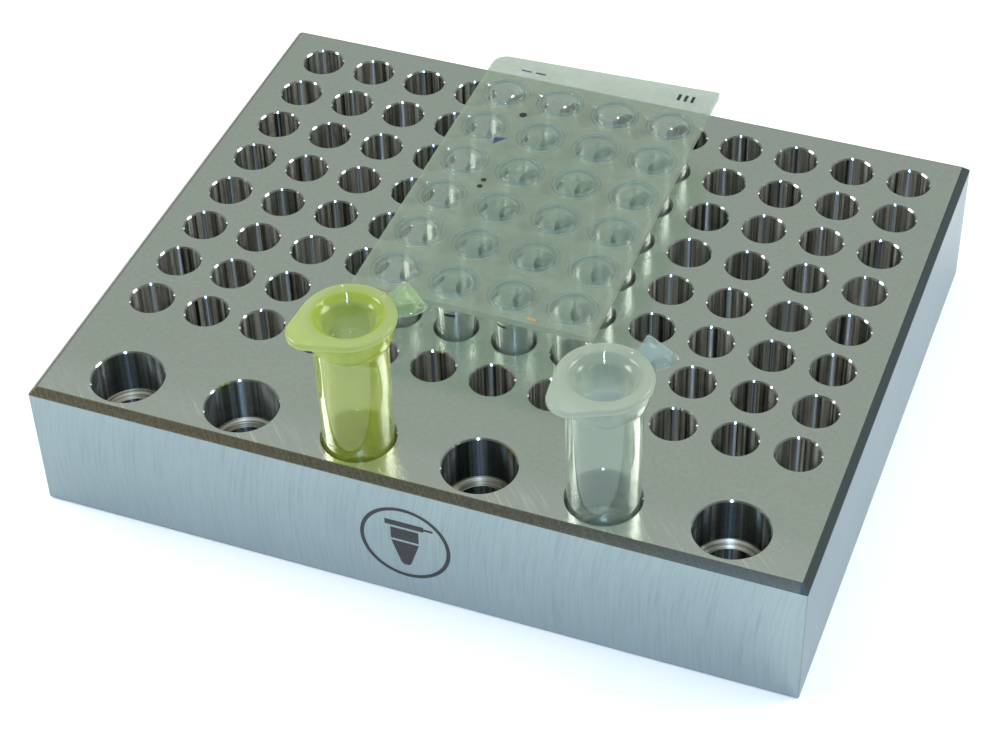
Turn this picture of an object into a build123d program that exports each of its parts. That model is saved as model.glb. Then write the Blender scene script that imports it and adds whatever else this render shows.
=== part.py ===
"""Passive aluminium dry block: a grid of small tube wells, a row of large tube pockets, and what they
hold: a cut piece of PCR plate with a grip tab, and two snap-cap microtubes.

Millimetres, +Z up. The origin is the centre of the block's underside, +X runs along the twelve
columns of wells and +Y towards the back.
"""

import os
from math import cos, radians, sin, tan

from build123d import *

os.makedirs("parts", exist_ok=True)

# Block
BLOCK_X, BLOCK_Y, BLOCK_Z = 115.0, 94.5, 22.0
TOP_CHAMFER = 1.0
RIM_CHAMFER = 0.2
SPLIT_Y = -31.0
DRILL_POINT = 118.0

# Small wells, on the 9 mm grid of standard plates
PITCH = 9.0
WELL_COLUMNS, WELL_ROWS = 12, 8
WELL_GRID_Y = 8.0
WELL_R, WELL_DEPTH = 3.2, 13.0

# Large stepped pockets in front of the grid
POCKET_PITCH = 2 * PITCH
POCKET_COUNT = 6
POCKET_Y = -40.1
POCKET_R, POCKET_DEPTH = 5.25, 7.3
POCKET_FOOT_R, POCKET_FOOT_DEPTH = 4.0, 16.5

# Cut piece of PCR plate: four columns and six rows, with a grip tab behind them
PLATE_COLUMNS, PLATE_ROWS = 4, 6
PLATE_LEFT, PLATE_RIGHT, PLATE_FRONT = -18.5, 18.1, -19.3
TAB_LEFT_Y, TAB_RIGHT_Y = 39.8, 41.4
TAB_CORNER_R = 2.3
DECK_TOP, DECK_THICK = 30.5, 1.0
CUP_NECK_R, CUP_RIM_R, CUP_RIM_HEIGHT = 3.0, 3.25, 0.4
CUP_TIP_R, CUP_TIP_Z, CUP_WALL = 1.5, 10.0, 0.38
CUP_RIM_WALL = 0.53

# Snap-cap microtubes: place of the axis, and the way the hinge faces
TUBE_COLUMN_X = {"yellow": -POCKET_PITCH / 2, "clear": 1.5 * POCKET_PITCH}
HINGE_AZIMUTH = {"yellow": 50.0, "clear": 60.0}
TUBE_TIP_Z, TUBE_TIP_R, TUBE_TIP_ROUND = 4.2, 1.8, 0.6
TUBE_CONE_TOP_Z, TUBE_CONE_TOP_R = 20.5, 5.1
TUBE_NECK_Z, TUBE_NECK_R = 40.4, 5.2
COLLAR_TOP_Z, COLLAR_R = 43.2, 6.0
BORE_MOUTH_R, BORE_FOOT_R = 4.4, 4.3
BORE_TIP_R, BORE_TIP_RISE = 1.0, 0.33
TUBE_FLOOR = 1.1

# Lid, closed: its plug tapers so that it swings clear of the bore
LID_GAP = 0.05
LID_R, LID_THICK = 6.6, 1.15
THUMB_R, THUMB_REACH = 3.2, 9.0
PLUG_TOP_R, PLUG_SEAL_R, PLUG_FOOT_R = 4.25, 4.2, 2.9
PLUG_SEAL_DEPTH, PLUG_TAPER_DEPTH, PLUG_DEPTH = 1.0, 4.7, 5.2
PLUG_TAPER_R = 3.35
RECESS_TOP_R, RECESS_R, RECESS_FOOT_R, RECESS_FLOOR = 4.75, 3.8, 2.7, 0.8

# Strap between tube and lid: two leaves that meet at the fold, which is the hinge line
FOLD_R, STRAP_WIDTH, STRAP_THICK = 10.0, 5.5, 0.5
STRAP_ROOT_DROP, STRAP_ROOT_RISE = 0.55, 0.35
FOLD_GAP = 0.05


def drill_tip(radius):
    """Depth of the cone that a twist drill leaves under a hole."""
    return radius / tan(radians(DRILL_POINT / 2))


def upright(place):
    """The vertical plane through a place's axis, with its own X across and global Z up."""
    return Plane(origin=place.origin, x_dir=place.x_dir, z_dir=-place.y_dir)


def outline(plane, points):
    """A closed face with straight sides on a plane."""
    with BuildSketch(plane) as face:
        with BuildLine():
            Polyline(*points, close=True)
        make_face()
    return face.sketch


def upright_axis(place):
    """The vertical axis of a place."""
    return Axis(place.origin, (0, 0, 1))


def drilled(radius, depth, step=()):
    """The space of a blind hole below height 0, with its rim broken and a drill point at its end."""
    section = [(0, 0), (radius + RIM_CHAMFER, 0), (radius, -RIM_CHAMFER)]
    foot_radius = radius
    if step:
        foot_radius, foot_depth = step
        section += [(radius, -depth), (foot_radius, drill_tip(foot_radius) - drill_tip(radius) - depth)]
        depth = foot_depth
    section += [(foot_radius, -depth), (0, -depth - drill_tip(foot_radius))]
    with BuildPart() as space:
        revolve(outline(Plane.XZ, section), axis=Axis.Z)
    return space.part


def block_stretch(front, back, hole, columns, rows, pitch, centre_y):
    """The block between two values of Y, with one grid of holes in its top."""
    with BuildPart() as stretch:
        with BuildSketch():
            Rectangle(BLOCK_X, BLOCK_Y)
        extrude(amount=BLOCK_Z)
        chamfer(stretch.edges().group_by(Axis.Z)[-1], TOP_CHAMFER)
        with BuildSketch():
            with Locations((0, (front + back) / 2)):
                Rectangle(BLOCK_X, back - front)
        extrude(amount=BLOCK_Z, mode=Mode.INTERSECT)
        with Locations((0, centre_y, BLOCK_Z)):
            with GridLocations(pitch, pitch, columns, rows):
                add(hole, mode=Mode.SUBTRACT)
    return stretch.part


def make_block():
    """One machined block, kept as two solids that meet face to face behind the row of pockets."""
    well = drilled(WELL_R, WELL_DEPTH)
    pocket = drilled(POCKET_R, POCKET_DEPTH, step=(POCKET_FOOT_R, POCKET_FOOT_DEPTH))
    rear = block_stretch(SPLIT_Y, BLOCK_Y / 2, well, WELL_COLUMNS, WELL_ROWS, PITCH, WELL_GRID_Y)
    front = block_stretch(-BLOCK_Y / 2, SPLIT_Y, pocket, POCKET_COUNT, 1, POCKET_PITCH, POCKET_Y)
    return Compound(label="block", children=[rear, front])


def cup_places():
    """Centres of the cups in the cut piece of plate."""
    return GridLocations(PITCH, PITCH, PLATE_COLUMNS, PLATE_ROWS)


def make_deck():
    """The flat of the cut plate piece, with its grip tab behind the cups."""
    with BuildPart() as deck:
        with BuildSketch(Plane.XY.offset(DECK_TOP - DECK_THICK)):
            with BuildLine():
                Polyline(
                    (PLATE_LEFT, PLATE_FRONT),
                    (PLATE_RIGHT, PLATE_FRONT),
                    (PLATE_RIGHT, TAB_RIGHT_Y),
                    (PLATE_LEFT, TAB_LEFT_Y),
                    close=True,
                )
            make_face()
            with Locations((0, WELL_GRID_Y)):
                with cup_places():
                    Circle(CUP_NECK_R, mode=Mode.SUBTRACT)
        extrude(amount=DECK_THICK)
        left_back = deck.edges().filter_by(Axis.Z).filter_by(GeomType.LINE).sort_by(Axis.Y)[-2]
        fillet(left_back, TAB_CORNER_R)
    return deck.part


def cup_section():
    """Half section of one cup: a rim on the deck, a straight neck and a long taper."""
    rim_top = DECK_TOP + CUP_RIM_HEIGHT
    tip_round = CUP_TIP_R / 2
    outside = [
        (CUP_NECK_R, DECK_TOP),
        (CUP_NECK_R, BLOCK_Z),
        (CUP_TIP_R, CUP_TIP_Z + tip_round),
        (CUP_TIP_R - tip_round, CUP_TIP_Z),
        (0, CUP_TIP_Z),
    ]
    inside = [
        (0, CUP_TIP_Z + CUP_WALL),
        (CUP_TIP_R - tip_round - CUP_WALL / 2, CUP_TIP_Z + CUP_WALL),
        (CUP_TIP_R - CUP_WALL, CUP_TIP_Z + tip_round + CUP_WALL / 2),
        (CUP_NECK_R - CUP_WALL, BLOCK_Z),
    ]
    rim = [(CUP_RIM_R - CUP_RIM_WALL, rim_top), (CUP_RIM_R, rim_top), (CUP_RIM_R, DECK_TOP)]
    return rim + outside + inside


def make_cups():
    """The thin-walled cups of the plate piece, one solid for each."""
    with BuildPart() as cup:
        revolve(outline(Plane.XZ, cup_section()), axis=Axis.Z)
    with BuildPart() as cups:
        with Locations((0, WELL_GRID_Y)):
            with cup_places():
                add(cup.part)
    return cups.part


def make_tube(place):
    """A conical microtube with a collar round its mouth."""
    outside = [
        (COLLAR_R, COLLAR_TOP_Z),
        (COLLAR_R, TUBE_NECK_Z),
        (TUBE_NECK_R, TUBE_NECK_Z),
        (TUBE_CONE_TOP_R, TUBE_CONE_TOP_Z),
        (TUBE_TIP_R, TUBE_TIP_Z + TUBE_TIP_ROUND),
        (TUBE_TIP_R - TUBE_TIP_ROUND, TUBE_TIP_Z),
        (0, TUBE_TIP_Z),
    ]
    inside = [
        (0, TUBE_TIP_Z + TUBE_FLOOR),
        (BORE_TIP_R, TUBE_TIP_Z + TUBE_FLOOR + BORE_TIP_RISE),
        (BORE_FOOT_R, TUBE_CONE_TOP_Z),
        (BORE_MOUTH_R, COLLAR_TOP_Z),
    ]
    with BuildPart() as tube:
        revolve(outline(upright(place), outside + inside), axis=upright_axis(place))
    return tube.part


def make_lid(place):
    """A round lid with a thumb tab opposite the hinge, and a hollow plug that tapers."""
    under = COLLAR_TOP_Z + LID_GAP
    top = under + LID_THICK
    plug = [
        (0, under),
        (PLUG_TOP_R, under),
        (PLUG_SEAL_R, COLLAR_TOP_Z - PLUG_SEAL_DEPTH),
        (PLUG_TAPER_R, COLLAR_TOP_Z - PLUG_TAPER_DEPTH),
        (PLUG_FOOT_R, COLLAR_TOP_Z - PLUG_DEPTH),
        (0, COLLAR_TOP_Z - PLUG_DEPTH),
    ]
    recess = [
        (0, top),
        (RECESS_TOP_R, top),
        (RECESS_R, under),
        (RECESS_FOOT_R, COLLAR_TOP_Z - PLUG_DEPTH + RECESS_FLOOR),
        (0, COLLAR_TOP_Z - PLUG_DEPTH + RECESS_FLOOR),
    ]
    with BuildPart() as lid:
        with BuildSketch(place.offset(under)):
            Circle(LID_R)
            with Locations((THUMB_R - THUMB_REACH, 0)):
                Circle(THUMB_R)
            make_hull()
        extrude(amount=LID_THICK)
        revolve(outline(upright(place), plug), axis=upright_axis(place))
        revolve(outline(upright(place), recess), axis=upright_axis(place), mode=Mode.SUBTRACT)
    return lid.part


def strap_leaf(place, root_z, fold_z, cut_radius):
    """One leaf of the strap, from the wall of the given radius out to the fold; heights are its underside."""
    root = cut_radius / 2
    underside = [(root, root_z), (cut_radius, root_z), (FOLD_R, fold_z)]
    upperside = [(radius, height + STRAP_THICK) for radius, height in reversed(underside)]
    with BuildPart() as leaf:
        extrude(outline(upright(place), underside + upperside), amount=STRAP_WIDTH / 2, both=True)
        with BuildSketch(place):
            Circle(cut_radius)
        extrude(amount=2 * COLLAR_TOP_Z, mode=Mode.SUBTRACT)
    return leaf.part


def make_strap_lower(place):
    """The leaf of the strap that grows out of the tube's collar."""
    fold_z = COLLAR_TOP_Z - FOLD_GAP - STRAP_THICK
    return strap_leaf(place, fold_z - STRAP_ROOT_DROP, fold_z, COLLAR_R)


def make_strap_upper(place):
    """The leaf of the strap that grows out of the lid's edge."""
    fold_z = COLLAR_TOP_Z + FOLD_GAP
    return strap_leaf(place, fold_z + STRAP_ROOT_RISE, fold_z, LID_R)


def keep(solid, name):
    """Label a finished piece and write it under its own name."""
    solid.label = name
    export_step(solid, f"parts/{name}.step")


keep(make_block(), "block")
keep(make_deck(), "pcr_deck")
keep(make_cups(), "pcr_cups")
for colour, tube_x in TUBE_COLUMN_X.items():
    azimuth = radians(HINGE_AZIMUTH[colour])
    pocket_place = Plane(origin=(tube_x, POCKET_Y, 0), x_dir=(cos(azimuth), sin(azimuth), 0))
    keep(make_tube(pocket_place), f"{colour}_tube")
    keep(make_strap_lower(pocket_place), f"{colour}_strap_lower")
    keep(make_strap_upper(pocket_place), f"{colour}_strap_upper")
    keep(make_lid(pocket_place), f"{colour}_lid")
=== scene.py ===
"""The dry block with its plate piece and microtubes: meshes, materials, light and camera.

Metres, in the CAD model's frame: the origin is the centre of the block's underside, +X runs along the
twelve columns of wells and +Y towards the back.
"""
from math import atan2, cos, pi, radians, sin, sqrt, tan

import bpy
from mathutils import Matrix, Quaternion, Vector


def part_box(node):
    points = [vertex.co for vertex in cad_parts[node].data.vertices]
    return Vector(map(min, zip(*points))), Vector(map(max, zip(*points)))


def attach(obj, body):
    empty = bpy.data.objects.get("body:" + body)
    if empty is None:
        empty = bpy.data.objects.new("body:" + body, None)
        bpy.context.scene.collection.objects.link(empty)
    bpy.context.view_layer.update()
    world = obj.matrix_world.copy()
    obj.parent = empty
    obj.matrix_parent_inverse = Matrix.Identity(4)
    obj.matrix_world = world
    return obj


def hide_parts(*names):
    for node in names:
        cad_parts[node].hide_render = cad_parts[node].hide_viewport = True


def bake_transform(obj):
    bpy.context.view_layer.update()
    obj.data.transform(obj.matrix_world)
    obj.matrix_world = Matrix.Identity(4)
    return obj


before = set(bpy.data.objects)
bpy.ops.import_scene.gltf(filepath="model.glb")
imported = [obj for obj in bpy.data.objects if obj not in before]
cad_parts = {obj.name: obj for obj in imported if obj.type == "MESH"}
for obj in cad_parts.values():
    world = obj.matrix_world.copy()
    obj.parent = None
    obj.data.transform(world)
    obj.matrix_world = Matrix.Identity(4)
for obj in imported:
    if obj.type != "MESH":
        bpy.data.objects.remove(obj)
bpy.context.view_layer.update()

MM = 0.001

# Sizes shared with the CAD model
PITCH = 9 * MM
WELL_COLUMNS, WELL_ROWS = 12, 8
GRID_Y = 8 * MM
WELL_R, WELL_DEPTH = 3.2 * MM, 13 * MM
POCKET_COUNT, POCKET_Y = 6, -40.1 * MM
POCKET_R, POCKET_DEPTH = 5.25 * MM, 7.3 * MM
POCKET_FOOT_R, POCKET_FOOT_DEPTH = 4 * MM, 16.5 * MM
DRILL_SLOPE = 1 / tan(radians(59))
RIM_CHAMFER = 0.2 * MM
TOP_CHAMFER = 1 * MM
PLATE_COLUMNS, PLATE_ROWS = 4, 6
CUP_NECK_R, CUP_RIM_R, CUP_WALL = 3 * MM, 3.25 * MM, 0.38 * MM

BLOCK_LOW, BLOCK_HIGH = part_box("block")
TOP_Z = BLOCK_HIGH.z


# ---------------------------------------------------------------- meshes

class Shape:
    """Vertices and faces gathered island by island, then made into one object."""

    def __init__(self):
        self.points, self.faces, self.materials, self.smooth, self.uvs = [], [], [], [], []

    def grid(self, rows, material=0, smooth=True, closed=True, flip=False):
        """A strip of quads through rows of points, with U along a row and V from row to row."""
        start, count = len(self.points), len(rows[0])
        for row in rows:
            self.points += row
        spans = count if closed else count - 1
        for j in range(len(rows) - 1):
            for i in range(spans):
                k = (i + 1) % count
                corners = [(j, i), (j, k), (j + 1, k), (j + 1, i)]
                ends = [(i, j), (i + 1, j), (i + 1, j + 1), (i, j + 1)]
                if flip:
                    corners.reverse()
                    ends.reverse()
                self.faces.append([start + a * count + b for a, b in corners])
                self.uvs.append([(u / spans, v / max(len(rows) - 1, 1)) for u, v in ends])
                self.materials.append(material)
                self.smooth.append(smooth)

    def polygon(self, points, material=0):
        """One flat face."""
        start = len(self.points)
        self.points += points
        self.faces.append(list(range(start, start + len(points))))
        self.uvs.append([(0, 0)] * len(points))
        self.materials.append(material)
        self.smooth.append(False)

    def build(self, name, materials):
        mesh = bpy.data.meshes.new(name)
        mesh.from_pydata([tuple(p) for p in self.points], [], self.faces)
        mesh.polygons.foreach_set("material_index", self.materials)
        mesh.polygons.foreach_set("use_smooth", self.smooth)
        layer = mesh.uv_layers.new(name="UVMap")
        layer.data.foreach_set("uv", [c for face in self.uvs for uv in face for c in uv])
        for material in materials:
            mesh.materials.append(material)
        mesh.update()
        made = bpy.data.objects.new(name, mesh)
        bpy.context.scene.collection.objects.link(made)
        return made


def circle(centre, radius, height, segments, start=0.0):
    """Points round a vertical axis."""
    turns = [start + 2 * pi * i / segments for i in range(segments)]
    return [Vector((centre[0] + radius * cos(t), centre[1] + radius * sin(t), height)) for t in turns]


def lathe(shape, centre, outline, segments, material, flip=False):
    """Revolve (radius, height) points about a vertical axis; each stretch of the list is one smooth band."""
    rows = [circle(centre, radius, height, segments) for radius, height in outline]
    shape.grid(rows, material, flip=flip)


def grid_places(columns, rows, pitch, centre_y):
    """Centres of a grid, row by row from the back."""
    for j in range(rows):
        for i in range(columns):
            yield (i - (columns - 1) / 2) * pitch, centre_y + ((rows - 1) / 2 - j) * pitch


def holed_cell(shape, centre, low, high, radius, height, segments, material, flip=False):
    """A flat rectangle with a round hole in it, as one ring of quads."""
    inner, outer = [], []
    turns = [2 * pi * (i + 0.5) / segments for i in range(segments)]
    for corner_x, corner_y in ((low[0], low[1]), (high[0], low[1]), (high[0], high[1]), (low[0], high[1])):
        turns.append(atan2(corner_y - centre[1], corner_x - centre[0]) % (2 * pi))
    for turn in sorted(turns):
        x, y = cos(turn), sin(turn)
        reach_x = ((high[0] if x > 0 else low[0]) - centre[0]) / x if abs(x) > 1e-9 else 1e9
        reach_y = ((high[1] if y > 0 else low[1]) - centre[1]) / y if abs(y) > 1e-9 else 1e9
        reach = min(reach_x, reach_y)
        inner.append(Vector((centre[0] + radius * x, centre[1] + radius * y, height)))
        outer.append(Vector((centre[0] + reach * x, centre[1] + reach * y, height)))
    shape.grid([inner, outer], material, smooth=False, flip=flip)


# ---------------------------------------------------------------- shader helpers

class Nodes:
    """The node tree of a material or of the world, with short ways to add and link nodes."""

    def __init__(self, name, world=False):
        self.owner = (bpy.data.worlds if world else bpy.data.materials).new(name)
        self.owner.use_nodes = True
        self.tree = self.owner.node_tree
        self.tree.nodes.clear()
        self.output = self.add("ShaderNodeOutputWorld" if world else "ShaderNodeOutputMaterial")

    def add(self, kind, inputs=None, **settings):
        node = self.tree.nodes.new(kind)
        for key, value in settings.items():
            setattr(node, key, value)
        for key, value in (inputs or {}).items():
            socket = node.inputs[key]
            if isinstance(value, bpy.types.NodeSocket):
                self.tree.links.new(value, socket)
            else:
                socket.default_value = value
        return node

    def math(self, operation, a, b=0.0, c=0.0):
        return self.add("ShaderNodeMath", {0: a, 1: b, 2: c}, operation=operation).outputs[0]

    def vector(self, operation, a, b=(0, 0, 0)):
        """Vector maths; a length or a dot product comes out as one number."""
        node = self.add("ShaderNodeVectorMath", {0: a, 1: b}, operation=operation)
        return node.outputs["Value" if operation in ("LENGTH", "DOT_PRODUCT") else "Vector"]

    def joined(self, x=0.0, y=0.0, z=0.0):
        return self.add("ShaderNodeCombineXYZ", {0: x, 1: y, 2: z}).outputs[0]

    def step(self, value, low, high):
        """A soft step from 0 at low to 1 at high."""
        ranged = self.add("ShaderNodeMapRange", {0: value, 1: low, 2: high}, interpolation_type="SMOOTHSTEP")
        return ranged.outputs[0]

    def mix(self, factor, a, b):
        made = self.add("ShaderNodeMix", data_type="RGBA", blend_type="MIX")
        for socket, value in ((made.inputs[0], factor), (made.inputs[6], a), (made.inputs[7], b)):
            if isinstance(value, bpy.types.NodeSocket):
                self.tree.links.new(value, socket)
            else:
                socket.default_value = value
        return made.outputs[2]

    def place(self):
        return self.add("ShaderNodeTexCoord").outputs["Object"]

    def split(self, vector):
        return self.add("ShaderNodeSeparateXYZ", {0: vector}).outputs

    def scaled(self, vector, scale, rotation=(0, 0, 0)):
        inputs = {"Vector": vector, "Scale": scale, "Rotation": rotation}
        return self.add("ShaderNodeMapping", inputs).outputs[0]

    def noise(self, vector, scale, detail=2.0, roughness=0.5):
        inputs = {"Vector": vector, "Scale": scale, "Detail": detail, "Roughness": roughness}
        return self.add("ShaderNodeTexNoise", inputs).outputs["Fac"]

    def bump(self, height, distance, strength):
        inputs = {"Height": height, "Distance": distance, "Strength": strength}
        return self.add("ShaderNodeBump", inputs).outputs[0]

    def ramp(self, factor, stops):
        """stops are (position, colour) pairs."""
        made = self.add("ShaderNodeValToRGB", {0: factor})
        points = made.color_ramp.elements
        while len(points) < len(stops):
            points.new(0.5)
        for point, (position, colour) in zip(points, stops):
            point.position, point.color = position, (*colour, 1)
        return made.outputs[0]

    def finish(self, shader):
        self.tree.links.new(shader, self.output.inputs["Surface"])
        return self.owner


def grey(value):
    return (value, value, value, 1)


# ---------------------------------------------------------------- materials

def milled_top():
    """Face-milled aluminium: a fine grain, faint arcs, a front strip lightened partly by real cutter marks
    and partly by painted highlight, and painted glints on slanting marks.
    """
    n = Nodes("milled_top")
    place = n.place()
    y = n.split(place)[1]
    grain = n.noise(n.scaled(place, (1400, 1400, 1)), 1.0, 3, 0.65)
    cloud = n.noise(place, 55, 3, 0.55)
    reach = n.vector("LENGTH", n.vector("SUBTRACT", place, (0.09, 0.16, TOP_Z)))
    arcs = n.noise(n.joined(n.math("MULTIPLY", reach, 1100.0)), 1.0, 4, 0.7)
    turned = n.scaled(place, (1, 1, 1), rotation=(0, 0, radians(-44)))
    # Painted glints: slanting marks near the front edge are painted near-white.
    painted_glints = n.step(n.noise(n.scaled(turned, (1700, 75, 1)), 1.0, 3, 0.6), 0.50, 0.70)
    patches = n.step(n.noise(place, 95, 2, 0.5), 0.40, 0.60)
    front = n.step(y, -0.0375, -0.0435)
    painted_glints = n.math("MULTIPLY", n.math("MULTIPLY", painted_glints, patches), front)
    colour = n.mix(cloud, (0.575, 0.632, 0.570, 1), (0.618, 0.677, 0.614, 1))
    colour = n.mix(n.math("MULTIPLY", n.step(grain, 0.35, 0.7), 0.28), colour, (0.48, 0.52, 0.48, 1))
    # Painted highlight, in part: the front strip is mixed a quarter of the way to a pale tone.
    colour = n.mix(n.math("MULTIPLY", front, 0.25), colour, (0.80, 0.83, 0.80, 1))
    colour = n.mix(n.math("MULTIPLY", painted_glints, 0.35), colour, (0.95, 0.96, 0.94, 1))
    rough = n.math("MULTIPLY_ADD", arcs, 0.08, n.math("MULTIPLY_ADD", painted_glints, 0.08, 0.18))
    height = n.math("MULTIPLY_ADD", grain, 0.5, n.math("MULTIPLY", arcs, 0.6))
    shader = n.add(
        "ShaderNodeBsdfPrincipled",
        {"Base Color": colour, "Metallic": 1.0, "Roughness": rough, "Normal": n.bump(height, 0.000012, 0.3)},
    )
    return n.finish(shader.outputs[0])


def milled_side():
    """Side-milled aluminium with faint upright arcs; the right face carries painted shade, a darker and
    cooler tone.
    """
    n = Nodes("milled_side")
    place = n.place()
    x, y, z = n.split(place)
    along = n.math("ADD", x, y)
    bow = n.math("MULTIPLY", n.math("POWER", n.math("SUBTRACT", z, 0.008), 2.0), 9.0)
    lane = n.joined(n.math("SUBTRACT", along, bow), 0.0, n.math("MULTIPLY", z, 0.05))
    wide = n.noise(lane, 220, 3, 0.6)
    lines = n.noise(lane, 900, 4, 0.7)
    fine = n.noise(lane, 2300, 3, 0.6)
    cloud = n.noise(place, 45, 2)
    grain = n.noise(n.scaled(place, (900, 900, 2600)), 1.0, 2, 0.6)
    dark = n.step(lines, 0.56, 0.70)
    colour = n.mix(wide, (0.285, 0.362, 0.372, 1), (0.332, 0.405, 0.415, 1))
    colour = n.mix(n.math("MULTIPLY", n.step(fine, 0.42, 0.66), 0.30), colour, (0.21, 0.275, 0.285, 1))
    colour = n.mix(n.math("MULTIPLY", dark, 0.30), colour, (0.17, 0.225, 0.235, 1))
    colour = n.mix(n.math("MULTIPLY", n.step(grain, 0.5, 0.75), 0.25), colour, (0.28, 0.35, 0.37, 1))
    # Painted shade: the right face is mixed nearly halfway to a darker tone.
    right = n.math("MULTIPLY", n.step(x, BLOCK_HIGH.x - 0.3 * MM, BLOCK_HIGH.x - 0.1 * MM), 0.45)
    colour = n.mix(right, colour, (0.16, 0.215, 0.245, 1))
    rough = n.math("MULTIPLY_ADD", cloud, 0.12, 0.34)
    height = n.math("MULTIPLY_ADD", fine, 0.5, n.math("MULTIPLY", grain, 0.3))
    height = n.math("MULTIPLY_ADD", lines, 0.5, height)
    shader = n.add(
        "ShaderNodeBsdfPrincipled",
        {"Base Color": colour, "Metallic": 0.9, "Roughness": rough, "Normal": n.bump(height, 0.00003, 0.4)},
    )
    return n.finish(shader.outputs[0])


def cut_chamfer():
    """The chamfer's coarser cut: dull, olive and grainy, with painted shade that turns it cooler and darker
    to the right and near black on the right side.
    """
    n = Nodes("cut_chamfer")
    place = n.place()
    x, y, _ = n.split(place)
    along = n.joined(n.math("ADD", x, y))
    ticks = n.noise(along, 2600, 2, 0.6)
    grain = n.noise(place, 2400, 2, 0.6)
    mixed = n.math("MULTIPLY_ADD", ticks, 0.6, n.math("MULTIPLY", grain, 0.4))
    colour = n.mix(n.step(mixed, 0.32, 0.68), (0.078, 0.072, 0.048, 1), (0.150, 0.140, 0.100, 1))
    # Painted shade: the chamfer turns cooler and darker from the middle to the right.
    painted_cool_shade = n.math("MULTIPLY", n.step(x, 0.012, 0.050), 0.6)
    colour = n.mix(painted_cool_shade, colour, (0.080, 0.100, 0.102, 1))
    # Painted shade: the right-hand chamfer is painted near black.
    right = n.math("MULTIPLY", n.step(x, BLOCK_HIGH.x - 1.4 * MM, BLOCK_HIGH.x - 0.9 * MM), 0.88)
    colour = n.mix(right, colour, (0.040, 0.055, 0.060, 1))
    shader = n.add(
        "ShaderNodeBsdfPrincipled",
        {"Base Color": colour, "Metallic": 0.9, "Roughness": 0.42, "Normal": n.bump(mixed, 0.00004, 0.5)},
    )
    return n.finish(shader.outputs[0])


def drilled_wall(name, dark, middle, light, streaks, ring_share):
    """Reamed bore wall: painted upright bands, dark to light, stand for what the wall would mirror."""
    n = Nodes(name)
    uv = n.add("ShaderNodeUVMap", uv_map="UVMap").outputs[0]
    u = n.split(uv)[0]
    place = n.place()
    round_it = n.math("MULTIPLY", u, 2 * pi)
    turn = n.joined(n.math("COSINE", round_it), n.math("SINE", round_it))
    hole = n.vector("FLOOR", n.vector("DIVIDE", place, (PITCH, PITCH, 1)))
    banded = n.vector("ADD", turn, n.scaled(hole, (0.21, 0.21, 0)))
    streak = n.noise(banded, streaks, 4, 0.75)
    rings = n.noise(n.scaled(place, (40, 40, 6200)), 1.0, 3, 0.65)
    level = n.math("MULTIPLY_ADD", n.math("SUBTRACT", rings, 0.5), ring_share, streak)
    colour = n.ramp(level, [(0.39, dark), (0.50, middle), (0.60, light)])
    tangent = n.add("ShaderNodeTangent", direction_type="UV_MAP", uv_map="UVMap").outputs[0]
    shader = n.add(
        "ShaderNodeBsdfPrincipled",
        {
            "Base Color": colour,
            "Metallic": 1.0,
            "Roughness": 0.25,
            "Anisotropic": 1.0,
            "Anisotropic Rotation": 0.25,
            "Tangent": tangent,
            "Normal": n.bump(rings, 0.00001, 0.2),
        },
    )
    return n.finish(shader.outputs[0])


def drilled_end(name, dark, light):
    """The drill's ledges and cone points, turned in rings."""
    n = Nodes(name)
    place = n.place()
    rings = n.noise(n.scaled(place, (60, 60, 5200)), 1.0, 3, 0.65)
    colour = n.mix(n.step(rings, 0.4, 0.62), (*dark, 1), (*light, 1))
    shader = n.add(
        "ShaderNodeBsdfPrincipled",
        {"Base Color": colour, "Metallic": 1.0, "Roughness": 0.28, "Normal": n.bump(rings, 0.00002, 0.4)},
    )
    return n.finish(shader.outputs[0])


def bright_rim():
    """The broken edge of a hole, polished by the countersink."""
    n = Nodes("bright_rim")
    wave = n.noise(n.place(), 4000, 2)
    colour = n.mix(wave, (0.32, 0.33, 0.32, 1), (0.46, 0.47, 0.47, 1))
    shader = n.add("ShaderNodeBsdfPrincipled", {"Base Color": colour, "Metallic": 1.0, "Roughness": 0.10})
    return n.finish(shader.outputs[0])


def marker_ink(name, colour, streak):
    """Dried marker ink: thin and uneven, with a dull sheen."""
    n = Nodes(name)
    uneven = n.noise(n.place(), 1800, 3, 0.6)
    tint = n.mix(n.step(uneven, 0.45, 0.75), (*colour, 1), (*streak, 1))
    shader = n.add("ShaderNodeBsdfPrincipled", {"Base Color": tint, "Roughness": 0.5})
    return n.finish(shader.outputs[0])


def plastic_skin(n, tint, edge_tint, veil, milk, gloss, bump, onward=0.5):
    """The surface of clear or milky plastic: see-through tint, haze and a sharp gloss over both."""
    facing = n.add("ShaderNodeLayerWeight", {"Blend": 0.5, "Normal": bump}).outputs["Facing"]
    edge = n.math("POWER", facing, 3.0)
    passing = n.add("ShaderNodeBsdfTransparent", {"Color": n.mix(edge, tint, edge_tint)})
    through = n.add("ShaderNodeBsdfTranslucent", {"Color": veil, "Normal": bump})
    back = n.add("ShaderNodeBsdfDiffuse", {"Color": veil, "Normal": bump})
    haze = n.add("ShaderNodeMixShader", {0: onward, 1: back.outputs[0], 2: through.outputs[0]})
    body = n.add("ShaderNodeMixShader", {0: milk, 1: passing.outputs[0], 2: haze.outputs[0]})
    shine = n.add("ShaderNodeBsdfAnisotropic", {"Color": grey(1), "Roughness": 0.04, "Normal": bump})
    fresnel = n.math("MULTIPLY_ADD", n.math("POWER", facing, 5.0), 0.96, 0.045)
    share = n.math("MULTIPLY", fresnel, gloss)
    last = n.add("ShaderNodeMixShader", {0: share, 1: body.outputs[0], 2: shine.outputs[0]})
    return n.finish(last.outputs[0])


def deeper(colour, factor):
    return (*(c * factor for c in colour), 1)


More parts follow.
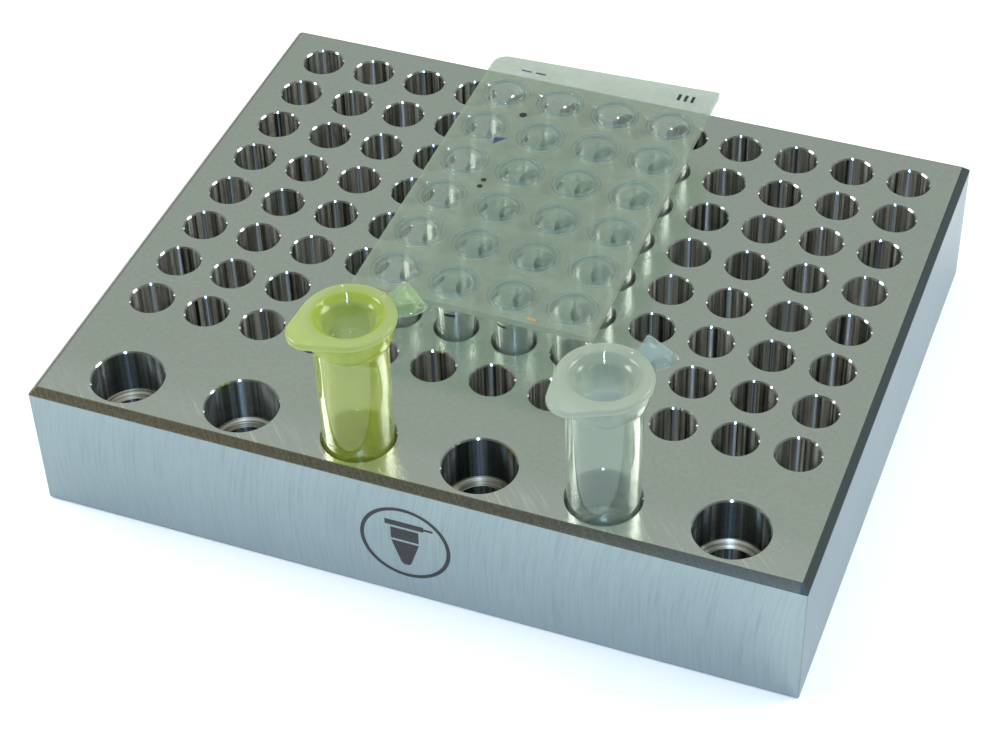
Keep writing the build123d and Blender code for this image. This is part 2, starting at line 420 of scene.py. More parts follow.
def moulded(name, tint, edge_tint, veil, milk, gloss=1.0, onward=0.5):
    """Clear or milky polypropylene, faintly cloudy and rippled; veil is the colour of its haze."""
    n = Nodes(name)
    place = n.place()
    cloud = n.noise(place, 260, 3, 0.6)
    ripple = n.noise(place, 700, 2, 0.5)
    colour = n.mix(cloud, deeper(tint, 0.95), deeper(tint, 1))
    haze = n.mix(cloud, deeper(veil, 0.88), deeper(veil, 1))
    share = n.math("MULTIPLY", n.math("MULTIPLY_ADD", cloud, 0.5, 0.75), milk)
    return plastic_skin(n, colour, (*edge_tint, 1), haze, share, gloss, n.bump(ripple, 0.00001, 0.06), onward)


def lid_plastic(name, colour_name, tint, veil, ring_veil, bowl_veil):
    """Milkier plastic, deeper in colour in the thick ring where the plug joins the lid."""
    n = Nodes(name)
    low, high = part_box(f"{colour_name}_tube")
    axis = ((low.x + high.x) / 2, (low.y + high.y) / 2, 0)
    place = n.place()
    reach = n.vector("LENGTH", n.scaled(n.vector("SUBTRACT", place, axis), (1, 1, 0)))
    ring_share = n.math("MULTIPLY", n.step(reach, 3.5 * MM, 4.2 * MM), n.step(reach, 5.4 * MM, 4.7 * MM))
    edge_share = n.math("MULTIPLY", n.step(reach, 6.0 * MM, 6.6 * MM), 0.35)
    cloud = n.noise(place, 300, 3, 0.6)
    haze = n.mix(n.math("MAXIMUM", ring_share, edge_share), (*veil, 1), (*ring_veil, 1))
    haze = n.mix(n.step(reach, 3.6 * MM, 3.2 * MM), haze, (*bowl_veil, 1))
    haze = n.mix(n.math("MULTIPLY", cloud, 0.3), haze, deeper(veil, 0.8))
    share = n.math("MULTIPLY_ADD", n.step(reach, 3.2 * MM, 4.2 * MM), 0.36, 0.34)
    ripple = n.noise(place, 700, 2, 0.5)
    return plastic_skin(n, (*tint, 1), deeper(tint, 0.9), haze, share, 0.6, n.bump(ripple, 0.00002, 0.15))


def floor_finish():
    """A plain pale sweep."""
    n = Nodes("pale_floor")
    soft = n.noise(n.place(), 3, 2)
    colour = n.mix(soft, grey(0.955), grey(0.975))
    finish = {"Base Color": colour, "Roughness": 0.9, "Specular IOR Level": 0.0}
    shader = n.add("ShaderNodeBsdfPrincipled", finish)
    return n.finish(shader.outputs[0])


# ---------------------------------------------------------------- the block

SIDE, TOP, CHAMFER = 0, 1, 2
WALL, END, RIM = 0, 1, 2
EDGE_SOFT = 0.12 * MM
CORNER_R, CORNER_STEPS = 0.25 * MM, 5
CELL_BACK = GRID_Y + WELL_ROWS * PITCH / 2
CELL_FRONT = GRID_Y - WELL_ROWS * PITCH / 2
POCKET_FRONT = BLOCK_LOW.y + TOP_CHAMFER + 0.5 * MM
CELLS_X = WELL_COLUMNS * PITCH / 2
WELL_SEGMENTS, POCKET_SEGMENTS = 64, 80


def rounded_rectangle(inset, height):
    """A loop round the block, pulled in by inset, with small round corners."""
    half_x, half_y = BLOCK_HIGH.x - inset, BLOCK_HIGH.y - inset
    loop = []
    for k, (sx, sy) in enumerate(((1, 1), (-1, 1), (-1, -1), (1, -1))):
        cx, cy = sx * (half_x - CORNER_R), sy * (half_y - CORNER_R)
        for i in range(CORNER_STEPS + 1):
            turn = (k + i / CORNER_STEPS) * pi / 2
            loop.append(Vector((cx + CORNER_R * cos(turn), cy + CORNER_R * sin(turn), height)))
    return loop


def block_skin(shape):
    """Sides, chamfer and underside."""
    lower = TOP_Z - TOP_CHAMFER
    section = [(0.35 * MM, 0.0), (0.1 * MM, 0.1 * MM), (0.0, 0.35 * MM)]
    side = section + [(0.0, lower - EDGE_SOFT)]
    shape.grid([rounded_rectangle(i, z) for i, z in side], SIDE)
    fold = [(0.0, lower - EDGE_SOFT), (0.3 * EDGE_SOFT, lower + 0.3 * EDGE_SOFT)]
    brow = [(TOP_CHAMFER - 0.3 * EDGE_SOFT, TOP_Z - 0.3 * EDGE_SOFT), (TOP_CHAMFER + EDGE_SOFT, TOP_Z)]
    shape.grid([rounded_rectangle(i, z) for i, z in fold], CHAMFER)
    shape.grid([rounded_rectangle(i, z) for i, z in (fold[1], brow[0])], CHAMFER)
    shape.grid([rounded_rectangle(i, z) for i, z in brow], CHAMFER)
    shape.polygon(list(reversed(rounded_rectangle(0.35 * MM, 0.0))), SIDE)


def block_top(shape):
    """The flat top, with its well and pocket openings left free."""
    edge = TOP_CHAMFER + EDGE_SOFT
    half_x, back, front = BLOCK_HIGH.x - edge, BLOCK_HIGH.y - edge, BLOCK_LOW.y + edge
    strips = [
        ((-half_x, CELL_BACK), (half_x, back)),
        ((-half_x, front), (half_x, POCKET_FRONT)),
        ((-half_x, POCKET_FRONT), (-CELLS_X, CELL_BACK)),
        ((CELLS_X, POCKET_FRONT), (half_x, CELL_BACK)),
    ]
    for (x0, y0), (x1, y1) in strips:
        corners = [(x0, y0), (x1, y0), (x1, y1), (x0, y1)]
        shape.polygon([Vector((x, y, TOP_Z)) for x, y in corners], TOP)
    half = PITCH / 2
    for x, y in grid_places(WELL_COLUMNS, WELL_ROWS, PITCH, GRID_Y):
        low, high = (x - half, y - half), (x + half, y + half)
        holed_cell(shape, (x, y), low, high, WELL_R + RIM_CHAMFER, TOP_Z, WELL_SEGMENTS, TOP)
    for x, y in grid_places(POCKET_COUNT, 1, 2 * PITCH, POCKET_Y):
        low, high = (x - PITCH, POCKET_FRONT), (x + PITCH, CELL_FRONT)
        holed_cell(shape, (x, y), low, high, POCKET_R + RIM_CHAMFER, TOP_Z, POCKET_SEGMENTS, TOP)


def bore(shape, centre, outline, segments):
    """A blind hole from its broken rim down to its drill point: upright walls, then ledges and cones."""
    lathe(shape, centre, outline[:2], segments, RIM, flip=True)
    for a, b in zip(outline[1:], outline[2:]):
        upright = abs(a[0] - b[0]) < 1e-9
        steps = 8 if upright else 2
        shares = [i / steps for i in range(steps + 1)]
        stretch = [(a[0] + (b[0] - a[0]) * t, a[1] + (b[1] - a[1]) * t) for t in shares]
        lathe(shape, centre, stretch, segments, WALL if upright else END, flip=True)


def well_outline():
    foot = TOP_Z - WELL_DEPTH
    mouth = [(WELL_R + RIM_CHAMFER, TOP_Z), (WELL_R, TOP_Z - RIM_CHAMFER)]
    return mouth + [(WELL_R, foot), (0, foot - WELL_R * DRILL_SLOPE)]


def pocket_outline():
    ledge = TOP_Z - POCKET_DEPTH
    shoulder = ledge - (POCKET_R - POCKET_FOOT_R) * DRILL_SLOPE
    foot = TOP_Z - POCKET_FOOT_DEPTH
    return [
        (POCKET_R + RIM_CHAMFER, TOP_Z),
        (POCKET_R, TOP_Z - RIM_CHAMFER),
        (POCKET_R, ledge),
        (POCKET_FOOT_R, shoulder),
        (POCKET_FOOT_R, foot),
        (0, foot - POCKET_FOOT_R * DRILL_SLOPE),
    ]


def make_block():
    body = Shape()
    block_skin(body)
    block_top(body)
    block = body.build("machined_block", [milled_side(), milled_top(), cut_chamfer()])
    rim = bright_rim()
    wells, pockets = Shape(), Shape()
    for centre in grid_places(WELL_COLUMNS, WELL_ROWS, PITCH, GRID_Y):
        bore(wells, centre, well_outline(), WELL_SEGMENTS)
    for centre in grid_places(POCKET_COUNT, 1, 2 * PITCH, POCKET_Y):
        bore(pockets, centre, pocket_outline(), POCKET_SEGMENTS)
    well_wall = drilled_wall(
        "well_wall",
        dark=(0.042, 0.044, 0.038),
        middle=(0.62, 0.63, 0.57),
        light=(1.0, 1.0, 0.98),
        streaks=4.2,
        ring_share=0.03,
    )
    well_end = drilled_end("well_end", (0.20, 0.18, 0.15), (0.40, 0.38, 0.34))
    # The pocket's wall and end are darker copies of the well's colours: painted shade in the pockets.
    pocket_wall = drilled_wall(
        "pocket_wall",
        dark=(0.07, 0.08, 0.09),
        middle=(0.29, 0.33, 0.34),
        light=(0.78, 0.82, 0.83),
        streaks=1.9,
        ring_share=0.12,
    )
    pocket_end = drilled_end("pocket_end", (0.09, 0.085, 0.065), (0.30, 0.29, 0.24))
    lined = (
        wells.build("well_walls", [well_wall, well_end, rim]),
        pockets.build("pocket_walls", [pocket_wall, pocket_end, rim]),
    )
    for piece in (block, *lined, make_emblem()):
        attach(piece, "block")
    for piece in (block, *lined):
        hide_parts("block")


EMBLEM_X, EMBLEM_Z = 0.3 * MM, 10.6 * MM
EMBLEM_INNER, EMBLEM_OUTER, EMBLEM_SEGMENTS = 6.2, 6.8, 96


def make_emblem():
    """A printed pictogram on the front: a microtube inside a ring, drawn in millimetres."""
    mark = Shape()
    face = BLOCK_LOW.y - 0.01 * MM

    def printed(points):
        return [Vector((EMBLEM_X + x * MM, face, EMBLEM_Z + z * MM)) for x, z in points]

    def turned(radius):
        turns = [2 * pi * i / EMBLEM_SEGMENTS for i in range(EMBLEM_SEGMENTS)]
        return [(radius * cos(t), radius * sin(t)) for t in turns]

    mark.grid([printed(turned(EMBLEM_INNER)), printed(turned(EMBLEM_OUTER))], smooth=False)
    mark.polygon(printed([(-2.9, 3.1), (2.9, 3.1), (2.9, 4.1), (-2.9, 4.1)]))
    mark.polygon(printed([(2.9, 3.4), (4.3, 3.4), (4.3, 3.8), (2.9, 3.8)]))
    mark.polygon(printed([(-2.1, 0.5), (2.1, 0.5), (2.1, 2.7), (-2.1, 2.7)]))
    mark.polygon(printed([(-2.1, 0.1), (-0.75, -4.0), (-0.35, -4.4), (0.35, -4.4), (0.75, -4.0), (2.1, 0.1)]))
    ink = marker_ink("printed_black", (0.012, 0.012, 0.014), (0.03, 0.03, 0.035))
    return mark.build("tube_pictogram", [ink])


# ---------------------------------------------------------------- the plate piece

TAB_CORNER_R = 2.3 * MM
TAB_SLANT = 1.6 * MM
TAB_ARC_STEPS = 8
CUP, DECK, RIM_RING, CUP_BORE = 0, 1, 2, 3
SKIRT_R = 3.78 * MM
CUP_SEGMENTS, DOT_SEGMENTS = 48, 20


def deck_outline():
    """Corners of the cut piece, from front left round to the rounded back left."""
    low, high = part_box("pcr_deck")
    left_back = high.y - TAB_SLANT
    slope = atan2(TAB_SLANT, high.x - low.x)
    turn = pi / 2 - slope
    reach = TAB_CORNER_R * tan(turn / 2)
    middle = Vector((low.x + TAB_CORNER_R, left_back - reach, 0))
    arc = []
    for i in range(TAB_ARC_STEPS + 1):
        angle = pi / 2 + slope + turn * i / TAB_ARC_STEPS
        arc.append(Vector((middle.x + TAB_CORNER_R * cos(angle), middle.y + TAB_CORNER_R * sin(angle), 0)))
    corners = [Vector((low.x, low.y, 0)), Vector((high.x, low.y, 0)), Vector((high.x, high.y, 0))]
    return corners + arc


def at_height(points, height):
    return [Vector((p.x, p.y, height)) for p in points]


def make_plate():
    deck_low, deck_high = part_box("pcr_deck")
    cups_low, cups_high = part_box("pcr_cups")
    top, under = deck_high.z, deck_low.z
    cup_y = (cups_low.y + cups_high.y) / 2
    plate = Shape()
    for centre in grid_places(PLATE_COLUMNS, PLATE_ROWS, PITCH, cup_y):
        make_cup(plate, centre, cups_low.z, cups_high.z, top, under)
    half, half_x, half_y = PITCH / 2, PLATE_COLUMNS * PITCH / 2, PLATE_ROWS * PITCH / 2
    for x, y in grid_places(PLATE_COLUMNS, PLATE_ROWS, PITCH, cup_y):
        low, high = (x - half, y - half), (x + half, y + half)
        holed_cell(plate, (x, y), low, high, SKIRT_R, top, CUP_SEGMENTS, DECK, flip=True)
        holed_cell(plate, (x, y), low, high, CUP_NECK_R, under, CUP_SEGMENTS, DECK)
        groove = [(SKIRT_R, top), (3.74 * MM, top - 0.02 * MM)]
        groove += [(3.68 * MM, top - 0.07 * MM), (3.60 * MM, top - 0.07 * MM)]
        lathe(plate, (x, y), groove, CUP_SEGMENTS, RIM_RING)
        inner = [groove[-1], (3.52 * MM, top - 0.03 * MM), (3.45 * MM, top), (CUP_RIM_R, top)]
        lathe(plate, (x, y), inner, CUP_SEGMENTS, DECK)
    loop = deck_outline()
    split = 3 + TAB_ARC_STEPS // 2
    for height, flip in ((top, False), (under, True)):
        edge = at_height(loop, height)
        left, right, front, back = -half_x, half_x, cup_y - half_y, cup_y + half_y
        corners = (left, front), (right, front), (right, back), (left, back)
        inner = [Vector((x, y, height)) for x, y in corners]
        margins = [
            [edge[0], edge[1], inner[1], inner[0]],
            [edge[1], edge[2], inner[2], inner[1]],
            [*edge[2 : split + 1], inner[3], inner[2]],
            [*edge[split:], edge[0], inner[0], inner[3]],
        ]
        for face in margins:
            plate.polygon(list(reversed(face)) if flip else face, DECK)
    plate.grid([at_height(loop, under), at_height(loop, top)], DECK, smooth=False)
    finishes = [
        moulded("cup_plastic", (0.975, 0.99, 0.98), (0.88, 0.93, 0.92), (0.72, 0.80, 0.72), 0.08, 0.8),
        moulded(
            "deck_plastic", (0.93, 0.97, 0.93), (0.86, 0.92, 0.89), (0.475, 0.530, 0.440), 0.55, 0.4, 0.65
        ),
        moulded("rim_plastic", (0.88, 0.95, 0.94), (0.76, 0.86, 0.86), (0.38, 0.47, 0.46), 0.30, 0.25),
        moulded("cup_bore_plastic", (0.975, 0.99, 0.98), (0.90, 0.94, 0.93), (0.80, 0.87, 0.77), 0.20, 0.9),
    ]
    made = plate.build("pcr_plate", finishes)
    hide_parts("pcr_deck", "pcr_cups")
    for piece in (made, *make_ink(top, cup_y - half_y + half)):
        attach(piece, "plate")


def ribbon(shape, points, width, height):
    """A flat stroke of ink along points."""
    left, right = [], []
    for i, point in enumerate(points):
        before, after = Vector(points[max(i - 1, 0)]), Vector(points[min(i + 1, len(points) - 1)])
        along = (after - before).normalized()
        side = Vector((-along.y, along.x)) * width / 2
        left.append(Vector((*((Vector(point) + side) * MM), height)))
        right.append(Vector((*((Vector(point) - side) * MM), height)))
    shape.grid([left, right], smooth=False, closed=False, flip=True)


def dot_outline(x, y, radius):
    turns = [2 * pi * i / DOT_SEGMENTS for i in range(DOT_SEGMENTS)]
    return [(x + radius * cos(t), y + radius * sin(t)) for t in turns]


def make_ink(deck_top, front_row_y):
    """Plain marker ticks, dashes, dots and a wedge on the deck, and dashes on three front cups."""
    height = deck_top + 0.01 * MM
    black, blue, amber = Shape(), Shape(), Shape()
    for x in (12.5, 13.6, 14.7):
        ribbon(black, [(x, 37.4), (x, 39.0)], 0.5, height)
    for x in (-13.3, -10.9):
        ribbon(blue, [(x, 37.0), (x + 1.7, 37.0)], 0.34, height)
    for x, y, radius in ((-9.0, 26.0, 0.62), (-9.0, 8.9, 0.45), (-9.0, 7.3, 0.45)):
        black.polygon([Vector((px * MM, py * MM, height)) for px, py in dot_outline(x, y, radius)])
    blue.polygon([Vector((x * MM, y * MM, height)) for x, y in ((-10.9, 17.6), (-9.3, 19.7), (-11.2, 19.3))])
    ribbon(amber, [(8.0, -18.3), (9.4, -18.5)], 0.4, height)
    for column, (start, end, drop) in enumerate(((-1.9, -1.35, 3.4), (-1.75, -1.2, 3.6), (-2.1, -1.6, 3.4))):
        x = (column - 1.5) * PITCH
        stroke = []
        for level in (drop, drop + 0.45):
            z = deck_top - level * MM
            turns = [start + (end - start) * i / 6 for i in range(7)]
            reach = CUP_NECK_R + 0.01 * MM
            stroke.append([Vector((x + reach * cos(t), front_row_y + reach * sin(t), z)) for t in turns])
        black.grid(stroke, smooth=True, closed=False, flip=True)
    black_ink = marker_ink("black_marker", (0.006, 0.006, 0.009), (0.03, 0.03, 0.038))
    blue_ink = marker_ink("blue_marker", (0.018, 0.026, 0.09), (0.06, 0.09, 0.20))
    amber_ink = marker_ink("amber_marker", (0.42, 0.22, 0.05), (0.55, 0.33, 0.10))
    return (
        black.build("black_marker_strokes", [black_ink]),
        blue.build("blue_marker_strokes", [blue_ink]),
        amber.build("amber_marker_dash", [amber_ink]),
    )


def make_cup(shape, centre, tip, rim_top, top, under):
    """One thin-walled cup: a rounded rim, the outside down to the tip, and the inside up again."""
    tip_r = 1.5 * MM
    mouth = CUP_NECK_R - CUP_WALL
    outside = [(CUP_NECK_R, under), (CUP_NECK_R, TOP_Z), (tip_r, tip + 0.75 * MM), (0.75 * MM, tip), (0, tip)]
    throat = mouth + 0.15 * MM
    inside = [(throat, top), (mouth + 0.04 * MM, top - 0.6 * MM), (mouth, TOP_Z)]
    inside += [(tip_r - CUP_WALL, tip + 0.95 * MM), (0, tip + CUP_WALL)]
    crest = rim_top - 0.12 * MM
    rim = [(CUP_RIM_R - 0.02 * MM, top), (CUP_RIM_R - 0.05 * MM, crest), (CUP_RIM_R - 0.14 * MM, rim_top)]
    rim += [(throat + 0.14 * MM, rim_top), (throat + 0.04 * MM, crest), (throat, top)]
    lathe(shape, centre, outside, CUP_SEGMENTS, CUP, flip=True)
    lathe(shape, centre, inside, CUP_SEGMENTS, CUP_BORE, flip=True)
    lathe(shape, centre, rim, CUP_SEGMENTS, RIM_RING, flip=True)


# ---------------------------------------------------------------- the microtubes

HINGE_AZIMUTH = {"yellow": radians(50), "clear": radians(60)}
TUBE_CONE_TOP_Z = 20.5 * MM
TUBE_NECK_Z = 40.4 * MM
LID_R = 6.6 * MM
THUMB_R, THUMB_REACH = 3.2 * MM, 8.99 * MM
LID_THICK, LID_GAP = 1.15 * MM, 0.05 * MM
PLUG_DEPTH = 5.2 * MM
STRAP_THICK = 0.4 * MM
WALL_FINISH, BORE_FINISH, COLLAR_FINISH = 0, 1, 2
ROUND_SEGMENTS = 96


def tube_body(centre, low, high):
    """The wall of one microtube, outside and in, with a rounded collar round its mouth."""
    wall = Shape()
    neck, top, foot = TUBE_NECK_Z, high, low
    outside = [(5.2, neck - 0.6 * MM), (5.16, 34 * MM), (5.1, TUBE_CONE_TOP_Z)]
    outside += [(1.8, foot + 0.9 * MM), (1.2, foot), (0, foot)]
    outside = [(r * MM, z) for r, z in outside]
    collar = [(5.2, neck - 0.6 * MM), (5.45, neck - 0.1 * MM), (5.85, neck + 0.25 * MM)]
    collar += [(6.0, neck + 0.7 * MM), (6.0, top - 0.25 * MM), (5.9, top - 0.07 * MM), (5.7, top)]
    collar += [(4.6, top), (4.45, top - 0.1 * MM), (4.4, top - 0.3 * MM)]
    collar = [(r * MM, z) for r, z in collar]
    inside = [(4.4, top - 0.3 * MM), (4.3, TUBE_CONE_TOP_Z), (1.0, foot + 1.45 * MM), (0.5, foot + 1.1 * MM)]
    inside = [(r * MM, z) for r, z in [*inside, (0, foot + 1.1 * MM)]]
    lathe(wall, centre, outside, ROUND_SEGMENTS, WALL_FINISH, flip=True)
    lathe(wall, centre, collar, ROUND_SEGMENTS, COLLAR_FINISH)
    lathe(wall, centre, inside, ROUND_SEGMENTS, BORE_FINISH, flip=True)
    return wall


def lid_reach(turn, inset):
    """Distance from the lid's axis to its edge; a turn of 0 points at the thumb tab."""
    big, small, apart = LID_R - inset, THUMB_R - inset, THUMB_REACH - THUMB_R
    turn = abs((turn + pi) % (2 * pi) - pi)
    tangent_turn = atan2(sqrt(apart**2 - (big - small) ** 2), big - small)
    if turn >= tangent_turn:
        return big
    corner = atan2(small * sin(tangent_turn), apart + small * cos(tangent_turn))
    if turn > corner:
        return big / cos(tangent_turn - turn)
    return apart * cos(turn) + sqrt(small**2 - (apart * sin(turn)) ** 2)


def lid_loop(centre, thumb_azimuth, inset, height):
    loop = []
    for i in range(ROUND_SEGMENTS):
        turn = 2 * pi * i / ROUND_SEGMENTS
        reach, angle = lid_reach(turn, inset), turn + thumb_azimuth
        loop.append(Vector((centre[0] + reach * cos(angle), centre[1] + reach * sin(angle), height)))
    return loop


def ring(centre, start, radius, height):
    return circle(centre, radius, height, ROUND_SEGMENTS, start)


def lid_body(centre, azimuth, under):
    """A lid with soft edges, a thumb tab opposite its hinge and a hollow plug."""
    lid = Shape()
    thumb = azimuth + pi
    top = under + LID_THICK
    edge = [(0.5, 0.0), (0.12, 0.1), (0.0, 0.35), (0.0, 0.75), (0.1, 1.0), (0.35, 1.12)]
    rim = [lid_loop(centre, thumb, inset * MM, under + rise * MM) for inset, rise in edge]
    lip = [(5.05, top), (4.85, top - 0.04 * MM), (4.6, top - 0.22 * MM), (4.3, top - 0.62 * MM)]
    lip += [(3.9, top - 0.98 * MM), (3.6, under - 0.02 * MM), (3.48, under - 0.25 * MM)]
    wall = [lip[-1], (3.42, under - 1.2 * MM), (3.33, under - 2.8 * MM), (3.12, under - 4.1 * MM)]
    floor = [wall[-1], (3.02, under - 4.19 * MM), (2.7, under - 4.2 * MM), (0, under - 4.2 * MM)]
    crown = [lid_loop(centre, thumb, 0.9 * MM, top)]
    lid.grid(rim + crown + [ring(centre, thumb, radius * MM, height) for radius, height in lip])
    for stretch in (wall, floor):
        lid.grid([ring(centre, thumb, radius * MM, height) for radius, height in stretch])
    foot = under - PLUG_DEPTH + 0.05 * MM
    plug = [(4.25, under), (4.2, under - 1 * MM), (3.35, under - 4.7 * MM), (2.9, foot), (0, foot)]
    below = [lid_loop(centre, thumb, 0.5 * MM, under)]
    lid.grid(below + [ring(centre, thumb, radius * MM, height) for radius, height in plug], flip=True)
    return lid


def strap(centre, azimuth, root_low, root_high, fold_z):
    """The strap as one bent sheet, waisted at its roots, from the collar round its fold to the lid."""
    route = [(5.85, root_low), (6.5, root_low - 0.1), (7.6, root_low - 0.3), (8.9, root_low - 0.2)]
    route += [(9.85, fold_z - 0.5), (10.2, fold_z), (9.95, fold_z + 0.5), (9.1, root_high + 0.21)]
    route += [(8.0, root_high + 0.16), (7.1, root_high + 0.02), (6.45, root_high - 0.1)]
    widths = [1.7, 1.5, 1.75, 2.25, 2.65, 2.75, 2.65, 2.2, 1.65, 1.4, 1.5]
    across, steps = 8, 4
    curve = smooth_curve([(r * MM, z * MM, w * MM) for (r, z), w in zip(route, widths)], steps)
    out, side = Vector((cos(azimuth), sin(azimuth), 0)), Vector((-sin(azimuth), cos(azimuth), 0))
    base = Vector((centre[0], centre[1], 0))
    rows = []
    for i, (reach, height, width) in enumerate(curve):
        before, after = curve[max(i - 1, 0)], curve[min(i + 1, len(curve) - 1)]
        along = Vector((after[0] - before[0], after[1] - before[1])).normalized()
        normal = out * -along[1] + Vector((0, 0, along[0]))
        middle = base + out * reach + Vector((0, 0, height))
        loop = []
        for k in range(across + 1):
            loop.append(middle + side * width * (2 * k / across - 1) + normal * STRAP_THICK / 2)
        for k in range(across + 1):
            loop.append(middle + side * width * (1 - 2 * k / across) - normal * STRAP_THICK / 2)
        rows.append(loop)
    sheet = Shape()
    sheet.grid(rows, flip=True)
    sheet.polygon(list(reversed(rows[0])))
    sheet.polygon(rows[-1])
    return sheet


def smooth_curve(points, steps):
    """A Catmull-Rom curve through points, with any number of values to a point."""
    curve = []
    for i in range(len(points) - 1):
        p0, p1 = points[max(i - 1, 0)], points[i]
        p2, p3 = points[i + 1], points[min(i + 2, len(points) - 1)]
        for k in range(steps):
            t = k / steps
            point = []
            for a, b, c, d in zip(p0, p1, p2, p3):
                square, cube = 2 * a - 5 * b + 4 * c - d, 3 * b - a - 3 * c + d
                point.append(0.5 * (2 * b + (c - a) * t + square * t**2 + cube * t**3))
            curve.append(tuple(point))
    curve.append(points[-1])
    return curve


def make_microtube(colour, wall_finishes, lid_finish, strap_finish):
    low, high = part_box(f"{colour}_tube")
    centre = ((low.x + high.x) / 2, (low.y + high.y) / 2)
    lid_under = high.z + LID_GAP
    azimuth = HINGE_AZIMUTH[colour]
    pieces = {
        "tube": tube_body(centre, low.z, high.z).build(f"{colour}_microtube", wall_finishes),
        "lid": lid_body(centre, azimuth, lid_under).build(f"{colour}_snap_lid", [lid_finish]),
    }
    for part, piece in pieces.items():
        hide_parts(f"{colour}_{part}")
        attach(piece, f"{colour}_{part}")
    fold = high.z / MM
    bent = strap(centre, azimuth, fold - 0.8, fold + 0.7, fold).build(f"{colour}_strap", [strap_finish])
    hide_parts(f"{colour}_strap_lower", f"{colour}_strap_upper")
    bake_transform(bent)


def make_tubes():
    make_microtube(
        "yellow",
        [
            moulded("yellow_wall", (0.985, 0.985, 0.95), (0.86, 0.90, 0.62), (0.63, 0.74, 0.085), 0.26),
            moulded("yellow_bore", (0.99, 0.99, 0.97), (0.95, 0.96, 0.86), (0.63, 0.74, 0.085), 0.14, 0.25),
            moulded("yellow_collar", (0.90, 0.94, 0.50), (0.74, 0.82, 0.26), (0.56, 0.67, 0.09), 0.55),
        ],
        lid_plastic(
            "yellow_lid_plastic",
            "yellow",
            tint=(0.95, 0.97, 0.84),
            veil=(0.53, 0.60, 0.28),
            ring_veil=(0.51, 0.61, 0.09),
            bowl_veil=(0.50, 0.57, 0.36),
        ),
        moulded(
            "yellow_strap_plastic", (0.93, 0.97, 0.90), (0.78, 0.90, 0.72), (0.49, 0.62, 0.39), 0.38, 0.6
        ),
    )
    make_microtube(
        "clear",
        [
            moulded("clear_wall", (0.98, 0.985, 0.98), (0.85, 0.91, 0.87), (0.52, 0.66, 0.55), 0.20),
            moulded("clear_bore", (0.99, 0.99, 0.985), (0.95, 0.97, 0.95), (0.52, 0.66, 0.55), 0.11, 0.25),
            moulded("clear_collar", (0.92, 0.95, 0.93), (0.80, 0.87, 0.82), (0.50, 0.58, 0.50), 0.50),
        ],
        lid_plastic(
            "clear_lid_plastic",
            "clear",
            tint=(0.95, 0.97, 0.96),
            veil=(0.51, 0.56, 0.46),
            ring_veil=(0.46, 0.53, 0.44),
            bowl_veil=(0.68, 0.74, 0.71),
        ),
        moulded(
            "clear_strap_plastic", (0.93, 0.97, 0.97), (0.78, 0.88, 0.89), (0.42, 0.53, 0.51), 0.36, 0.7
        ),
    )


# ---------------------------------------------------------------- light and camera

def aimed(obj, target):
    obj.rotation_mode = "QUATERNION"
    obj.rotation_quaternion = (Vector(target) - obj.location).to_track_quat("-Z", "Y")


def softbox(name, place, target, width, height, power, colour):
    light = bpy.data.lights.new(name, "AREA")
    light.shape, light.size, light.size_y = "RECTANGLE", width, height
    light.energy, light.color = power, colour
    obj = bpy.data.objects.new(name, light)
    obj.location = place
    bpy.context.scene.collection.objects.link(obj)
    aimed(obj, target)
    return obj


CAMERA_PLACE = Vector((0.100239, -0.256562, 0.257315))
CAMERA_AIM = Vector((0.00456, -0.02045, 0.022))
CAMERA_ROLL = radians(1.88)
FOCAL_MM, SENSOR_MM = 87.275, 36.0


def make_camera():
    data = bpy.data.cameras.new("camera")
    data.sensor_width, data.lens = SENSOR_MM, FOCAL_MM
    data.clip_start, data.clip_end = 0.01, 20
    camera = bpy.data.objects.new("camera", data)
    camera.location = CAMERA_PLACE
    camera.rotation_mode = "QUATERNION"
    level = (CAMERA_AIM - CAMERA_PLACE).to_track_quat("-Z", "Y")
    camera.rotation_quaternion = level @ Quaternion((0, 0, 1), -CAMERA_ROLL)
    bpy.context.scene.collection.objects.link(camera)
    bpy.context.scene.camera = camera


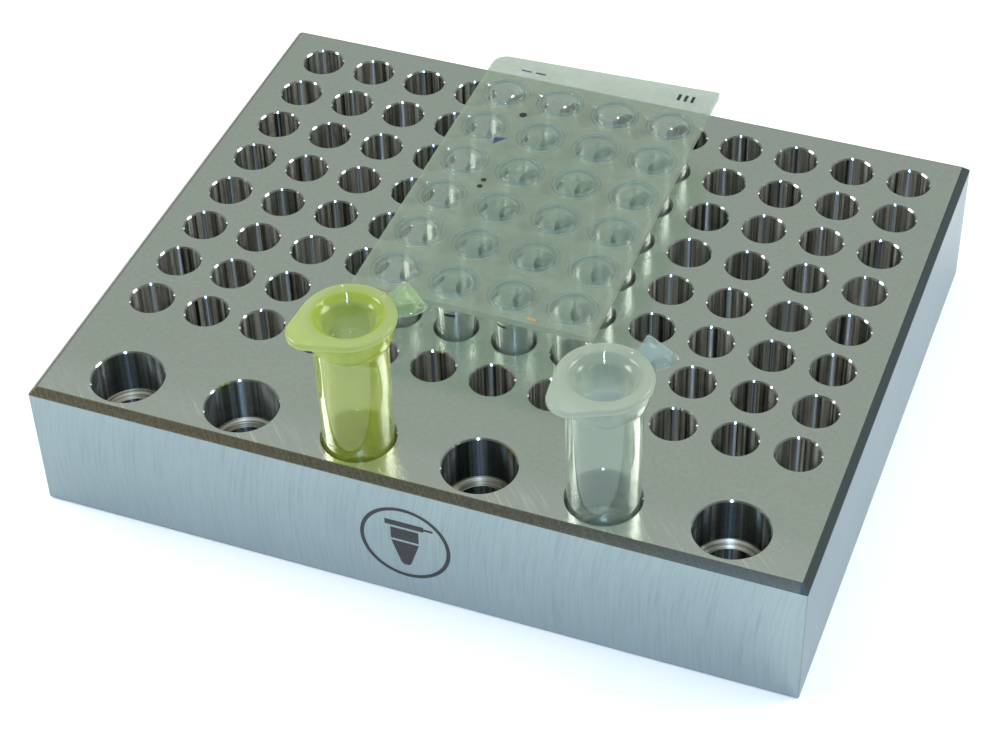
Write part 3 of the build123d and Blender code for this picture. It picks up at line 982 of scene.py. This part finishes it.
def around(azimuth, elevation, distance):
    """A place seen from the block's top; azimuth 0 is straight behind it and 90 to its right."""
    a, e = radians(azimuth), radians(elevation)
    return Vector((0, 0, TOP_Z)) + distance * Vector((sin(a) * cos(e), cos(a) * cos(e), sin(e)))


VIEW_AZIMUTH = -22.0


def make_lights():
    centre = (0, 0, TOP_Z)
    softbox("left_softbox", around(VIEW_AZIMUTH - 77, 41, 0.7), centre, 0.34, 0.24, 3.0, (1, 0.97, 0.93))
    softbox("right_softbox", around(VIEW_AZIMUTH + 78, 41, 0.7), centre, 0.34, 0.24, 2.6, (1, 0.97, 0.93))
    softbox("top_softbox", Vector((0, 0, 1.1)), centre, 1.15, 1.15, 3.0, (0.98, 1, 1))
    softbox("front_strip", around(VIEW_AZIMUTH + 180, 52, 0.8), centre, 0.024, 0.5, 3.4, (0.50, 0.70, 1))


def make_world():
    """A soft grey-green room, darker in front and paler low down."""
    n = Nodes("studio", world=True)
    direction = n.add("ShaderNodeTexCoord").outputs["Generated"]
    height = n.split(direction)[2]
    cloud = n.noise(direction, 1.6, 2)
    colour = n.mix(n.math("MULTIPLY", cloud, 0.4), (0.445, 0.475, 0.450, 1), (0.40, 0.43, 0.405, 1))
    front = n.vector("DOT_PRODUCT", direction, (0.2, -0.98, 0))
    colour = n.mix(n.step(front, 0.1, 0.7), colour, (0.22, 0.22, 0.19, 1))
    colour = n.mix(n.step(height, 0.22, 0.0), colour, (0.46, 0.52, 0.54, 1))
    back = n.add("ShaderNodeBackground", {"Color": colour, "Strength": 1.0})
    bpy.context.scene.world = n.finish(back.outputs[0])


def make_floor():
    floor = Shape()
    floor.polygon([Vector((x, y, 0)) for x, y in ((-4, -4), (4, -4), (4, 4), (-4, 4))])
    made = floor.build("studio_floor", [floor_finish()])
    made.location.z = -0.05 * MM


make_block()
make_plate()
make_tubes()
make_floor()
make_world()
make_lights()
make_camera()
bpy.context.scene.view_settings.view_transform = "Standard"
bpy.context.scene.cycles.transparent_max_bounces = 40
